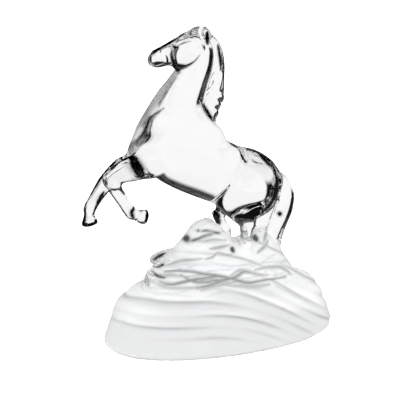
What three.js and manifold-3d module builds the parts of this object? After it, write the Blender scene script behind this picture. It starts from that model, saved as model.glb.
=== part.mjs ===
// A clear crystal horse rearing on a mound of windblown grass, over an oval base with a frosted,
// rippled skin. The whole figurine is pressed as one piece of solid glass, so it is one mesh.
// Millimetres, +Z up. The horse faces -X, and its near side is -Y. The origin is the middle of the
// flat underside.

import * as THREE from "three";
import { mergeVertices } from "three/addons/utils/BufferGeometryUtils.js";
import Module from "manifold-3d";

// Driving dimensions of the base
const BASE_LENGTH = 128;
const BASE_WIDTH = 69;
const OVAL_POWER = 2.15; // 2 is an ellipse, and more is squarer
const RIPPLE_PITCH = 5.7; // from one ripple to the next, measured up the wall
const RIPPLE_DEPTH = 0.6;

// The ripples lie level towards the head, and from FALL_START on they run down the wall.
const FALL_START = -20;
const FALL_LENGTH = 55;
const FALL = 20.5;
const FALL_POWER = 1.9;
const TAIL_END = 30; // past here they fall evenly
const TAIL_SLOPE = 0.65;

// The base's side profile, as [share of the full oval, height], from the ground up to the crown
const BASE_PROFILE = [
  [0.965, 0],
  [1.0, 2.2],
  [0.978, 7],
  [0.953, 12],
  [0.91, 19],
  [0.872, 23.5],
  [0.822, 26.6],
  [0.76, 28.4],
  [0.66, 30.6],
  [0.5, 34.2],
  [0.3, 37],
  [0.12, 38],
];

// How far the figure stands from the middle of the base
const FIGURE_X = -0.8;

// Each body of the horse is a row of stations: [x, y, z, half depth, half width]. Depth lies in the
// side view, across the path, and width runs from side to side.
const TORSO = [
  [29.5, 0, 79, 7.5, 7],
  [25, 0, 80.8, 13.7, 11],
  [16, 0, 84, 16.6, 13],
  [5, 0, 88.3, 15.9, 12.8],
  [-6, 0, 93.9, 16.5, 13.2],
  [-18, 0, 100, 16.6, 13],
  [-30, 0, 104.4, 14.2, 12.2],
  [-38, 0, 105.6, 11, 10],
  [-42, 0, 105.4, 7.5, 7.2],
];
const NECK = [
  [-22.6, 0, 103, 26, 11],
  [-23, 0, 110, 24.2, 10.6],
  [-23.6, 0, 117, 20, 9.6],
  [-23.2, 0, 124, 14.9, 8.5],
  [-21.8, 0, 129.7, 11.8, 7.6],
  [-19.3, 0, 135, 9.9, 6.8],
  [-16.4, 0, 140.5, 8.6, 6.2],
  [-13.4, 0, 146.4, 7.7, 5.7],
  [-11, 0, 152.4, 6.8, 5.2],
  [-9, 0, 158.4, 4.8, 4.6],
];
const HEAD = [
  [-8.6, 0, 158.4, 7.2, 4.4],
  [-12.6, 0, 157, 9.8, 5.4],
  [-17, 0, 155.5, 10.1, 5.8],
  [-21.2, 0, 154.4, 9, 5.3],
  [-25.6, 0, 154.6, 6.4, 3.4],
  [-30, 0, 153.9, 4.9, 2.9],
  [-33.4, 0, 153.2, 4.6, 3],
  [-35, 0, 152.8, 4, 3],
];

// Rounded forms of the head: their middle, half sizes and lean in the side view, in degrees
const CHEEK = { at: [-16.8, 2.7, 155.2], half: [9.4, 4.1, 7.3], lean: -14, sides: 10, bands: 6 };
const MUZZLE = { at: [-32.6, 0, 153.1], half: [5.7, 4.1, 4], lean: -8, sides: 10, bands: 6 };
const EYE = { at: [-23.6, 4, 160.4], half: [1.9, 1.3, 1.2], lean: -25, sides: 6, bands: 4 };

const FORELOCK = [
  [-7.5, 0, 165, 2.2, 2.2],
  [-11.5, 0, 165.8, 2.6, 2.6],
  [-15.5, 0, 164.6, 2, 2.1],
  [-20, 0, 161.8, 1.1, 1.3],
];
const NEAR_EAR = [
  [-8, -3.2, 162, 2.5, 1.7],
  [-8.2, -3.7, 165.6, 2.1, 1.4],
  [-9.3, -3.6, 168.4, 0.8, 0.7],
];
const FAR_EAR = [
  [-8.6, 3.2, 161, 2.6, 1.7],
  [-9.4, 3.7, 164.2, 2.2, 1.4],
  [-11, 3.6, 166.9, 0.8, 0.7],
];
const NEAR_FOREARM = [
  [-32, -6.4, 104, 9.5, 4.8],
  [-42, -8.3, 101.6, 8.2, 4.8],
  [-51, -9.2, 100, 6.6, 4.3],
  [-58, -9.4, 97.8, 5, 3.7],
  [-61.8, -9.4, 95.6, 4.4, 3.5],
];
const NEAR_SHIN = [
  [-61.6, -9.4, 95, 4.4, 3.4],
  [-59, -9.2, 89.3, 3.5, 3],
  [-56.1, -9, 84.2, 3.1, 2.7],
  [-52.9, -8.8, 79, 3.2, 2.7],
  [-50.8, -8.8, 76.4, 3.3, 2.9],
  [-48.4, -8.8, 75, 2.7, 2.5],
];
const NEAR_HOOF = [
  [-49, -8.8, 75.2, 2.5, 2.4],
  [-46.6, -8.8, 74.2, 3.5, 3.2],
  [-43.4, -8.8, 73.2, 3.9, 3.5],
];
const FAR_FORELEG = [
  [-32, 6.4, 102.5, 9, 4.8],
  [-41, 8.3, 98.8, 7.6, 4.8],
  [-50, 9.2, 94.8, 5.8, 4.2],
  [-57.8, 9.4, 89, 4.4, 3.5],
  [-62, 9.2, 84.2, 3.7, 3],
  [-65.4, 9, 79.4, 3.3, 2.7],
  [-67.8, 8.8, 75.6, 3.2, 2.7],
  [-68.6, 8.8, 72, 2.7, 2.5],
];
const FAR_HOOF = [
  [-68.6, 8.8, 72.4, 2.7, 2.5],
  [-68.4, 8.8, 69.8, 3.8, 3.3],
  [-68, 8.8, 67.2, 4.3, 3.7],
];
const NEAR_THIGH = [
  [24, -5, 85.5, 8.5, 6.2],
  [19.4, -7, 81.4, 13, 7.8],
  [13.6, -8.4, 78.6, 12.6, 7.8],
  [6.8, -8.8, 77.4, 8.6, 6.6],
  [1, -8.8, 76.8, 5.4, 5],
];
const NEAR_GASKIN = [
  [0.6, -8.4, 78.4, 6, 5.4],
  [5.9, -8.8, 73.6, 6.6, 5],
  [10.7, -9.2, 68, 5.7, 4.2],
  [13.3, -9.2, 63.4, 4.3, 3.6],
];
const NEAR_HIND_SHIN = [
  [12.6, -9.2, 62.6, 3.8, 3.4],
  [12.2, -9.4, 57, 3.2, 3],
  [11.2, -9.8, 51, 3.3, 3.2],
  [9.6, -10.2, 44, 4.2, 4],
];
const FAR_THIGH = [
  [24, 5, 85.5, 8.5, 6.2],
  [18.4, 7, 81, 12.6, 7.8],
  [12.6, 8.2, 76.2, 9.8, 7],
  [8.2, 8.8, 71, 5.8, 5.2],
  [6.2, 9, 66, 3.7, 3.8],
];
const FAR_GASKIN = [
  [2.2, 9, 64.6, 2.3, 2.6],
  [3.8, 9, 62.2, 3, 3.1],
  [5.6, 9.2, 58.8, 2.9, 3],
  [8.2, 9.2, 54.4, 2.9, 3],
];
const FAR_HIND_SHIN = [
  [8.2, 9.2, 54.6, 3, 3],
  [7, 9.6, 49, 3.2, 3.2],
  [5.4, 10, 43, 4, 3.8],
];
const TAIL = [
  [31, 0, 84.8, 4.2, 4],
  [35.2, 0, 81.2, 4.8, 4.2],
  [37.8, 0, 75.2, 5.2, 4.6],
  [36.9, 0, 67.5, 5.3, 5],
  [33.6, 0, 59, 5.5, 5.4],
  [30.7, 0, 50, 5.9, 6],
  [29.8, 0, 43, 6.8, 7.4],
  [30.6, 0, 35, 9.8, 10],
  [31.6, 0, 27, 14, 12],
];
const MANE = [
  [-5.7, 0, 163.2, 1.8, 2.2],
  [-2.8, 0, 157.8, 3.4, 3],
  [-1.4, 0, 150, 4.4, 3.4],
  [-2.1, 0, 141, 5.4, 3.8],
  [-3.7, 0, 134, 6.6, 4],
  [-5.2, 0, 128, 6.1, 3.8],
  [-5, 0, 122.3, 4.4, 3.2],
  [-3.3, 0, 116.6, 1.6, 1.8],
];

// The mound lies along X on the base, and its stations' half depths set its skyline.
const MOUND_FOOT = 24;
const MOUND = [
  [43.5, 0, MOUND_FOOT, 8.5, 9],
  [38, 0, MOUND_FOOT, 13.5, 13],
  [33, 0, MOUND_FOOT, 24, 15],
  [28, 0, MOUND_FOOT, 31.5, 17],
  [22, 0, MOUND_FOOT, 32, 18.5],
  [15, 0, MOUND_FOOT, 29.5, 19.5],
  [8, 0, MOUND_FOOT, 28.5, 19.5],
  [2.5, 0, MOUND_FOOT, 32.5, 18.5],
  [-3.5, 0, MOUND_FOOT, 39.5, 17],
  [-11, 0, MOUND_FOOT, 39.5, 15.5],
  [-18, 0, MOUND_FOOT, 33.5, 15],
  [-25, 0, MOUND_FOOT, 26.5, 15.5],
  [-33, 0, MOUND_FOOT, 21, 15],
  [-38.5, 0, MOUND_FOOT, 14.5, 12.5],
  [-41, 0, MOUND_FOOT, 9.5, 9.5],
];
// The web of glass that joins the tail to the rump over the mound
const WEB = [
  [28, 0, 71, 5, 3.6],
  [25.5, 0, 63, 7.5, 3.8],
  [24, 0, 54, 9, 5],
];
const LIP = [
  [-20, 0, 45, 6, 10],
  [-29, 0, 45.4, 4.6, 9.5],
  [-34.5, 0, 45.8, 3.2, 7],
  [-36.6, 0, 46, 2, 4.5],
];
const BLADE = [
  [-36, -2, 27, 7, 8],
  [-38.4, -2, 34, 3.8, 6],
  [-39.6, -2, 39.5, 1.7, 3.4],
  [-40.4, -2, 42.4, 0.6, 1],
];

const wasm = await Module();
wasm.setup();

// A smooth curve through rows of up to three numbers
function smooth(rows) {
  const points = rows.map(([a, b = 0, c = 0]) => new THREE.Vector3(a, b, c));
  return new THREE.CatmullRomCurve3(points, false, "catmullrom", 0.5);
}

// Turns closed triangles into a solid.
function solid(positions, triangles) {
  const geometry = new THREE.BufferGeometry();
  geometry.setAttribute("position", new THREE.Float32BufferAttribute(positions, 3));
  geometry.setIndex(triangles);
  const merged = mergeVertices(geometry, 1e-4);
  return new wasm.Manifold(
    new wasm.Mesh({
      numProp: 3,
      vertProperties: merged.attributes.position.array,
      triVerts: new Uint32Array(merged.index.array),
    }),
  );
}

// Triangles of a closed skin over `rings` rings of `sides` points, with a middle point at each end.
// `leans(k)` says which way the quads in column k are cut.
function skinTriangles(rings, sides, leans = () => false) {
  const triangles = [];
  const first = rings * sides;
  const last = first + 1;
  for (let k = 0; k < sides; k++) {
    const next = (k + 1) % sides;
    triangles.push(first, next, k);
    for (let i = 0; i < rings - 1; i++) {
      const a = i * sides;
      const b = a + sides;
      if (leans(k)) triangles.push(a + k, a + next, b + k, a + next, b + next, b + k);
      else triangles.push(a + k, a + next, b + next, a + k, b + next, b + k);
    }
    const end = (rings - 1) * sides;
    triangles.push(last, end + k, end + next);
  }
  return triangles;
}

// A body swept through its stations. Each ring is an oval across the path, and both ends are domed.
// `under` flattens the side away from the front, and `relief` swells the skin.
function swept(stations, options = {}) {
  const { sides = 8, steps = 6, domes = [1, 1], domeSteps = 1, under = 1, relief } = options;
  const centres = smooth(stations.map(([x, y, z]) => [x + FIGURE_X, y, z]));
  const sizes = smooth(stations.map(([, , , deep, wide]) => [deep, wide]));
  const rings = [];
  const ringAt = (t, slide, shrink) => {
    const tangent = centres.getTangent(t);
    const side = new THREE.Vector3(0, 1, 0).addScaledVector(tangent, -tangent.y).normalize();
    const front = new THREE.Vector3().crossVectors(side, tangent);
    const size = sizes.getPoint(t);
    const centre = centres.getPoint(t).addScaledVector(tangent, slide * size.x);
    rings.push({ t, centre, side, front, deep: size.x * shrink, wide: size.y * shrink });
  };
  for (let i = 1; i <= domeSteps; i++) {
    const angle = (i / (domeSteps + 1)) * (Math.PI / 2);
    ringAt(0, -domes[0] * Math.cos(angle), Math.sin(angle));
  }
  for (let i = 0; i <= steps; i++) ringAt(i / steps, 0, 1);
  for (let i = domeSteps; i >= 1; i--) {
    const angle = (i / (domeSteps + 1)) * (Math.PI / 2);
    ringAt(1, domes[1] * Math.cos(angle), Math.sin(angle));
  }
  const positions = [];
  for (const ring of rings) {
    for (let k = 0; k < sides; k++) {
      const angle = (k / sides) * 2 * Math.PI;
      const swell = relief ? 1 + relief(ring.t, angle) : 1;
      const reach = Math.cos(angle) * (Math.cos(angle) < 0 ? under : 1);
      const point = ring.centre
        .clone()
        .addScaledVector(ring.front, ring.deep * swell * reach)
        .addScaledVector(ring.side, ring.wide * swell * Math.sin(angle));
      positions.push(point.x, point.y, point.z);
    }
  }
  const tip = (t, slide) => {
    const point = centres
      .getPoint(t)
      .addScaledVector(centres.getTangent(t), slide * sizes.getPoint(t).x);
    positions.push(point.x, point.y, point.z);
  };
  tip(0, -domes[0]);
  tip(1, domes[1]);
  return solid(positions, skinTriangles(rings.length, sides));
}

// An egg of three half sizes, leaned in the side view. `flank` puts it on the far side or, at -1,
// on the near side.
function egg({ at, half, lean, sides, bands }, flank = 1) {
  const turn = new THREE.Matrix4().makeRotationY((lean * Math.PI) / 180);
  const middle = new THREE.Vector3(at[0] + FIGURE_X, flank * at[1], at[2]);
  const place = (x, y, z) => {
    const point = new THREE.Vector3(x * half[0], y * half[1], z * half[2]);
    return point.applyMatrix4(turn).add(middle).toArray();
  };
  const positions = [];
  for (let i = 1; i < bands; i++) {
    const latitude = (i / bands - 0.5) * Math.PI;
    for (let k = 0; k < sides; k++) {
      const angle = (k / sides) * 2 * Math.PI;
      const reach = Math.cos(latitude);
      const [x, y] = [reach * Math.cos(angle), reach * Math.sin(angle)];
      positions.push(...place(x, y, Math.sin(latitude)));
    }
  }
  positions.push(...place(0, 0, -1), ...place(0, 0, 1));
  return solid(positions, skinTriangles(bands - 1, sides));
}

// Combed hair: `count` locks round the body, which turn by `twist` radians along it.
function locks(count, twist, depth) {
  return (t, angle) => {
    const sided = angle > Math.PI ? 2 * Math.PI - angle : angle;
    return depth * Math.cos(count * sided + twist * t);
  };
}

// How far the ripples have run down the wall at x
function rippleFall(x) {
  const bend = Math.min(x, TAIL_END);
  const share = Math.max(0, (bend - FALL_START) / FALL_LENGTH);
  return FALL * Math.pow(share, FALL_POWER) + TAIL_SLOPE * (x - bend);
}

// Height of the ripples over the base's plain skin
function ripple(x, y, z) {
  const shift = y < 0 ? 0 : RIPPLE_PITCH / 2;
  const phase = ((z + rippleFall(x) + shift) / RIPPLE_PITCH) * 2 * Math.PI;
  const strength = THREE.MathUtils.smoothstep(z + 0.12 * x, 2, 16);
  return -RIPPLE_DEPTH * strength * Math.cos(phase);
}

// The oval base: its profile carried round a superellipse, with the ripples raised on it.
function base({ around = 58, up = 18 } = {}) {
  const profile = smooth(BASE_PROFILE);
  const pointAt = (t, angle) => {
    const p = profile.getPoint(t);
    const c = Math.cos(angle);
    const s = Math.sin(angle);
    const x = (BASE_LENGTH / 2) * p.x * Math.sign(c) * Math.abs(c) ** (2 / OVAL_POWER);
    const y = (BASE_WIDTH / 2) * p.x * Math.sign(s) * Math.abs(s) ** (2 / OVAL_POWER);
    return new THREE.Vector3(x, y, p.y);
  };
  const positions = [];
  for (let i = 0; i <= up; i++) {
    for (let k = 0; k < around; k++) {
      const t = i / up;
      const angle = ((k + 0.5) / around) * 2 * Math.PI;
      const point = pointAt(t, angle);
      if (i > 0) {
        const alongWall = pointAt(Math.min(1, t + 0.01), angle).sub(pointAt(t - 0.01, angle));
        const roundWall = pointAt(t, angle + 0.02).sub(pointAt(t, angle - 0.02));
        const normal = roundWall.cross(alongWall).normalize();
        point.addScaledVector(normal, ripple(point.x, point.y, point.z));
      }
      positions.push(point.x, point.y, point.z);
    }
  }
  const crown = profile.getPoint(1).y;
  positions.push(0, 0, 0, 0, 0, crown);
  return solid(positions, skinTriangles(up + 1, around, (k) => k >= around / 2));
}

// The mound's half depth and half width at x
function moundSize(x) {
  const row = Math.max(1, MOUND.findIndex((station) => station[0] <= x));
  const [x0, , , deep0, wide0] = MOUND[row - 1];
  const [x1, , , deep1, wide1] = MOUND[row];
  const share = (x0 - x) / (x0 - x1);
  return [THREE.MathUtils.lerp(deep0, deep1, share), THREE.MathUtils.lerp(wide0, wide1, share)];
}

// One blade of grass laid along the mound's flank, from its tip at the head end towards the tail.
// `low` and `rise` are shares of the mound's height there.
const BLADE_STATIONS = 4;
const BLADE_TIP = 0.35; // the tip's share of the full thickness
const BLADE_SUNK = 0.5; // the share of its thickness that lies inside the mound
const BLADE_DEEPER = 1.6; // how much deeper than wide it is
function strand({ from, to, low, rise, thick, side }) {
  const stations = [];
  for (let i = 0; i <= BLADE_STATIONS; i++) {
    const share = i / BLADE_STATIONS;
    const x = THREE.MathUtils.lerp(from, to, share);
    const [deep, wide] = moundSize(x);
    const level = low + rise * share;
    const fullness = Math.sin(Math.PI * THREE.MathUtils.lerp(0.12, 0.9, share));
    const size = thick * THREE.MathUtils.lerp(BLADE_TIP, 1, fullness);
    const y = side * (wide * Math.sqrt(1 - level ** 2) - BLADE_SUNK * size);
    stations.push([x, y, MOUND_FOOT + level * deep, size * BLADE_DEEPER, size]);
  }
  return swept(stations, { sides: 6, steps: 4, domes: [1.5, 1.5] });
}

// The blades on one flank: long ones over the mound, then short ones crossing them at its foot.
const LONG_BLADES = 4;
const FOOT_BLADES = 3;
function strands(side) {
  const blades = [];
  for (let i = 0; i < LONG_BLADES; i++) {
    const from = -36 + 5 * i;
    const reach = 50 - 10 * i;
    blades.push({ from, to: from + reach, low: 0.5 + 0.13 * i, rise: 0.08, thick: 2, side });
  }
  for (let i = 0; i < FOOT_BLADES; i++) {
    const from = -37 + 21 * i;
    blades.push({ from, to: from + 30, low: 0.46, rise: -0.1, thick: 1.9, side });
  }
  return blades.map(strand);
}

const round = { domeSteps: 2 };
const horse = [
  swept(TORSO, { ...round, sides: 16, steps: 11, domes: [0.7, 0.8] }),
  swept(NECK, { sides: 14, steps: 12, domes: [0.2, 0.6] }),
  swept(HEAD, { sides: 12, steps: 8, domes: [0.6, 0.7] }),
  egg(CHEEK, -1),
  egg(CHEEK),
  egg(MUZZLE),
  egg(EYE, -1),
  egg(EYE),
  swept(FORELOCK, { sides: 6, steps: 4 }),
  swept(NEAR_EAR, { sides: 6, steps: 2, domes: [0.3, 1] }),
  swept(FAR_EAR, { sides: 6, steps: 2, domes: [0.3, 1] }),
  swept(NEAR_FOREARM, round),
  swept(NEAR_SHIN),
  swept(NEAR_HOOF, { steps: 2, domes: [0.5, 0.15] }),
  swept(FAR_FORELEG, { steps: 10 }),
  swept(FAR_HOOF, { steps: 2, domes: [0.5, 0.15] }),
  swept(NEAR_THIGH, { ...round, sides: 12, domes: [0.6, 1] }),
  swept(NEAR_GASKIN, { steps: 4, domes: [0.3, 1] }),
  swept(NEAR_HIND_SHIN, { steps: 4 }),
  swept(FAR_THIGH, { ...round, sides: 12, domes: [0.6, 1] }),
  swept(FAR_GASKIN, { steps: 4 }),
  swept(FAR_HIND_SHIN, { steps: 3 }),
  swept(TAIL, { sides: 14, steps: 12, domes: [0.6, 0.1], relief: locks(5, 3, 0.09) }),
  swept(MANE, { sides: 14, steps: 10, domes: [0.8, 1], relief: locks(5, 4, 0.08) }),
];
const grass = [
  swept(MOUND, { sides: 16, steps: 18, domes: [0.4, 0.4], under: 0.4 }),
  swept(WEB, { steps: 3, domes: [0.5, 0.5] }),
  swept(LIP, { steps: 4, domes: [0.3, 1] }),
  swept(BLADE, { steps: 4, domes: [0.2, 1] }),
  ...strands(-1),
  ...strands(1),
];

const whole = [base(), ...grass, ...horse].reduce((joined, piece) => joined.add(piece));
const mesh = whole.getMesh();
const geometry = new THREE.BufferGeometry();
geometry.setAttribute("position", new THREE.BufferAttribute(mesh.vertProperties, 3));
geometry.setIndex(new THREE.BufferAttribute(mesh.triVerts, 1));
geometry.computeVertexNormals();

const crystal = new THREE.MeshStandardMaterial({
  color: 0xf2f6f7,
  roughness: 0.05,
  metalness: 0,
});
const figurine = new THREE.Mesh(geometry, crystal);
figurine.name = "crystal_horse";

const root = new THREE.Group();
root.add(figurine);
export default root;
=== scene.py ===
"""A clear crystal horse rearing on a mound of windblown grass, over a frosted oval base.

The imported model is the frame. One closed skin replaces its single node: the same bodies as the
solid's, swept through the same stations, fused, smoothed, and carved with finer hair and grass.
Lengths in the tables are millimetres in the figure's own axis.
"""

import math

import bpy
import numpy as np
from mathutils import Matrix, Vector


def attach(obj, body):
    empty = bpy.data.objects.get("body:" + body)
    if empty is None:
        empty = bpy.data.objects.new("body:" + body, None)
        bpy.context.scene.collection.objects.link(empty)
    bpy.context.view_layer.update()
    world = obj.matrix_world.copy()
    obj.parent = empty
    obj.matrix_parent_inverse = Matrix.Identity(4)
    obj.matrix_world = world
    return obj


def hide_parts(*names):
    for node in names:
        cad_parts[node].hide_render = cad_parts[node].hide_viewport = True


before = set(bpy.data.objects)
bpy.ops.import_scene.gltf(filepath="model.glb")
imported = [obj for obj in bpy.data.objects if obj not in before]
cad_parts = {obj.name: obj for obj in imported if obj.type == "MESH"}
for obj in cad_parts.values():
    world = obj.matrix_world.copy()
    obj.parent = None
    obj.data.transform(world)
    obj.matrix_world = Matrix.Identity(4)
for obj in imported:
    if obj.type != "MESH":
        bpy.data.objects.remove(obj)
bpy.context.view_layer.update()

MM = 0.001
FIGURE_X = -0.8  # the figure's axis from the middle of the base

# The base, as in the solid
BASE_LENGTH = 128
BASE_WIDTH = 69
OVAL_POWER = 2.15
RIPPLE_PITCH = 5.7
RIPPLE_DEPTH = 0.6
FALL_START = -20  # from here on the ripples run down the wall, and from FALL_END on straight
FALL_END = 30
BASE_PROFILE = [
    (0.965, 0),
    (1.0, 2.2),
    (0.978, 7),
    (0.953, 12),
    (0.91, 19),
    (0.872, 23.5),
    (0.822, 26.6),
    (0.76, 28.4),
    (0.66, 30.6),
    (0.5, 34.2),
    (0.3, 37),
    (0.12, 38),
]

# Bodies of the horse, in rows of (x, y, z, half depth, half width)
TORSO = [
    (30, 0, 79.4, 10, 8.6),
    (25, 0, 81, 14, 11.4),
    (16, 0, 84, 16.6, 13),
    (5, 0, 88.3, 15.9, 12.8),
    (-6, 0, 93.9, 16.5, 13.2),
    (-18, 0, 100, 16.6, 13),
    (-30, 0, 104.4, 14.2, 12.2),
    (-38, 0, 105.6, 11, 10),
    (-42, 0, 105.4, 7.5, 7.2),
]

NECK = [
    (-22.6, 0, 103, 26, 11),
    (-23, 0, 110, 24.2, 10.6),
    (-23.6, 0, 117, 20, 9.6),
    (-23.2, 0, 124, 14.9, 8.5),
    (-21.8, 0, 129.7, 11.8, 7.6),
    (-19.3, 0, 135, 9.9, 6.8),
    (-16.4, 0, 140.5, 8.6, 6.2),
    (-13.4, 0, 146.4, 7.7, 5.7),
    (-11, 0, 152.4, 6.8, 5.2),
    (-9, 0, 158.4, 4.8, 4.6),
]

HEAD = [
    (-8.6, 0, 158.4, 7.2, 4.4),
    (-12.6, 0, 157, 9.8, 5.4),
    (-17, 0, 155.5, 10.1, 5.8),
    (-21.2, 0, 154.4, 9, 5.3),
    (-25.6, 0, 154.6, 6.4, 3.4),
    (-30, 0, 153.9, 4.9, 2.9),
    (-33.4, 0, 153.2, 4.6, 3),
    (-35, 0, 152.8, 4, 3),
]

# The straight ridge of the nose
NOSE = [
    (-34.5, 0, 155.7, 2.2, 3.0),
    (-29, 0, 157.8, 2.6, 3.2),
    (-23, 0, 160.2, 3, 3.6),
    (-17, 0, 162.2, 3.4, 4.2),
]

FORELOCK = [
    (-7.5, 0, 165, 2.2, 2.2),
    (-11.5, 0, 165.8, 2.6, 2.6),
    (-15.5, 0, 164.6, 2, 2.1),
    (-20, 0, 161.8, 1.1, 1.3),
]

NEAR_EAR = [
    (-8, -3.2, 162, 2.5, 1.7),
    (-8.2, -3.7, 165.6, 2.1, 1.4),
    (-9.3, -3.6, 168.4, 0.8, 0.7),
]

FAR_EAR = [
    (-8.6, 3.2, 161, 2.6, 1.7),
    (-9.4, 3.7, 164.2, 2.2, 1.4),
    (-11, 3.6, 166.9, 0.8, 0.7),
]

NEAR_FOREARM = [
    (-32, -6.4, 104, 9.5, 4.8),
    (-42, -8.3, 101.6, 8.2, 4.8),
    (-51, -9.2, 100, 6.6, 4.3),
    (-58, -9.4, 97.8, 5, 3.7),
    (-61.8, -9.4, 95.6, 4.4, 3.5),
]

NEAR_SHIN = [
    (-61.6, -9.4, 95, 4.4, 3.4),
    (-59, -9.2, 89.3, 3.5, 3),
    (-56.1, -9, 84.2, 3.1, 2.7),
    (-52.9, -8.8, 79, 3.2, 2.7),
    (-50.8, -8.8, 76.4, 3.3, 2.9),
    (-48.4, -8.8, 75, 2.7, 2.5),
]

NEAR_HOOF = [
    (-49, -8.8, 75.2, 2.5, 2.4),
    (-46.6, -8.8, 74.2, 3.5, 3.2),
    (-43.4, -8.8, 73.2, 3.9, 3.5),
]

FAR_FORELEG = [
    (-32, 6.4, 102.5, 9, 4.8),
    (-41, 8.3, 98.8, 7.6, 4.8),
    (-50, 9.2, 94.8, 5.8, 4.2),
    (-57.8, 9.4, 89, 4.4, 3.5),
    (-62, 9.2, 84.2, 3.7, 3),
    (-65.4, 9, 79.4, 3.3, 2.7),
    (-67.8, 8.8, 75.6, 3.2, 2.7),
    (-68.6, 8.8, 72, 2.7, 2.5),
]

FAR_HOOF = [
    (-68.6, 8.8, 72.4, 2.7, 2.5),
    (-68.4, 8.8, 69.8, 3.8, 3.3),
    (-68, 8.8, 67.2, 4.3, 3.7),
]

NEAR_THIGH = [
    (24, -5, 85.5, 8.5, 6.2),
    (19.4, -7, 81.4, 13, 7.8),
    (13.6, -8.4, 78.6, 12.6, 7.8),
    (6.8, -8.8, 77.4, 8.6, 6.6),
    (1, -8.8, 76.8, 5.4, 5),
]

NEAR_GASKIN = [
    (0.6, -8.4, 78.4, 6, 5.4),
    (5.9, -8.8, 73.6, 6.6, 5),
    (10.7, -9.2, 68, 5.7, 4.2),
    (13.3, -9.2, 63.4, 4.3, 3.6),
]

NEAR_HIND_SHIN = [
    (12.6, -9.2, 62.6, 3.8, 3.4),
    (12.2, -9.4, 57, 3.2, 3),
    (11.2, -9.8, 51, 3.3, 3.2),
    (9.6, -10.2, 44, 4.2, 4),
]

FAR_THIGH = [
    (24, 5, 85.5, 8.5, 6.2),
    (18.4, 7, 81, 12.6, 7.8),
    (12.6, 8.2, 76.2, 9.8, 7),
    (8.2, 8.8, 71, 5.8, 5.2),
    (6.2, 9, 66, 3.7, 3.8),
]

FAR_GASKIN = [
    (2.2, 9, 64.6, 2.3, 2.6),
    (3.8, 9, 62.2, 3, 3.1),
    (5.6, 9.2, 58.8, 2.9, 3),
    (8.2, 9.2, 54.4, 2.9, 3),
]

FAR_HIND_SHIN = [
    (8.2, 9.2, 54.6, 3, 3),
    (7, 9.6, 49, 3.2, 3.2),
    (5.4, 10, 43, 4, 3.8),
]

TAIL = [
    (31, 0, 84.8, 4.2, 4),
    (35.2, 0, 81.2, 4.8, 4.2),
    (37.8, 0, 75.2, 5.2, 4.6),
    (36.9, 0, 67.5, 5.3, 5),
    (33.6, 0, 59, 5.5, 5.4),
    (30.7, 0, 50, 5.9, 6),
    (29.8, 0, 43, 6.8, 7.4),
    (30.6, 0, 35, 9.8, 10),
    (31.6, 0, 27, 14, 12),
]

MANE = [
    (-5.7, 0, 163.2, 1.8, 2.2),
    (-2.8, 0, 157.8, 3.4, 3),
    (-1.4, 0, 150, 4.4, 3.4),
    (-2.1, 0, 141, 5.4, 3.8),
    (-3.7, 0, 134, 6.6, 4),
    (-5.2, 0, 128, 6.1, 3.8),
    (-5, 0, 122.3, 4.4, 3.2),
    (-3.3, 0, 116.6, 1.6, 1.8),
]

# The mound rises from this height, inside the base
MOUND_FOOT = 24
MOUND = [
    (43.5, 0, MOUND_FOOT, 8.5, 9),
    (38, 0, MOUND_FOOT, 13.5, 13),
    (33, 0, MOUND_FOOT, 24, 15),
    (28, 0, MOUND_FOOT, 31.5, 17),
    (22, 0, MOUND_FOOT, 32, 18.5),
    (15, 0, MOUND_FOOT, 29.5, 19.5),
    (8, 0, MOUND_FOOT, 28.5, 19.5),
    (2.5, 0, MOUND_FOOT, 32.5, 18.5),
    (-3.5, 0, MOUND_FOOT, 39.5, 17),
    (-11, 0, MOUND_FOOT, 39.5, 15.5),
    (-18, 0, MOUND_FOOT, 33.5, 15),
    (-25, 0, MOUND_FOOT, 26.5, 15.5),
    (-33, 0, MOUND_FOOT, 21, 15),
    (-38.5, 0, MOUND_FOOT, 14.5, 12.5),
    (-41, 0, MOUND_FOOT, 9.5, 9.5),
]

# The mound carried up between the hind legs and the tail
WEB = [
    (28, 0, 71, 5, 3.6),
    (25.5, 0, 63, 7.5, 3.8),
    (24, 0, 54, 9, 5),
]

# The curled lip and the upright blade at the head end of the mound
LIP = [
    (-20, 0, 45, 6, 10),
    (-29, 0, 45.4, 4.6, 9.5),
    (-34.5, 0, 45.8, 3.2, 7),
    (-36.6, 0, 46, 2, 4.5),
]

BLADE = [
    (-36, -2, 27, 7, 8),
    (-38.4, -2, 34, 3.8, 6),
    (-39.6, -2, 39.5, 1.7, 3.4),
    (-40.4, -2, 42.4, 0.6, 1),
]


def spline(rows, t):
    """Rows joined smoothly: between two rows a cubic whose slope at each row is half the step
    between its neighbours (the end rows' neighbours are mirrored)."""
    rows = np.asarray(rows, float)
    rows = np.vstack([2 * rows[0] - rows[1], rows, 2 * rows[-1] - rows[-2]])
    u = np.clip(t, 0, 1) * (len(rows) - 3)
    i = np.minimum(u.astype(int), len(rows) - 4)
    f = (u - i)[:, None]
    a, b, c, d = (rows[i + k] for k in range(4))
    slope = (c - a) * f
    bend = (2 * a - 5 * b + 4 * c - d) * f**2
    twist = (3 * b - a - 3 * c + d) * f**3
    return 0.5 * (2 * b + slope + bend + twist)


def smoothstep(v, low, high):
    """0 below low, 1 above high, and 3 t^2 - 2 t^3 between them."""
    t = np.clip((v - low) / (high - low), 0, 1)
    return t * t * (3 - 2 * t)


def unit(v):
    """Vectors brought to length 1."""
    return v / np.linalg.norm(v, axis=-1, keepdims=True)


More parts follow.
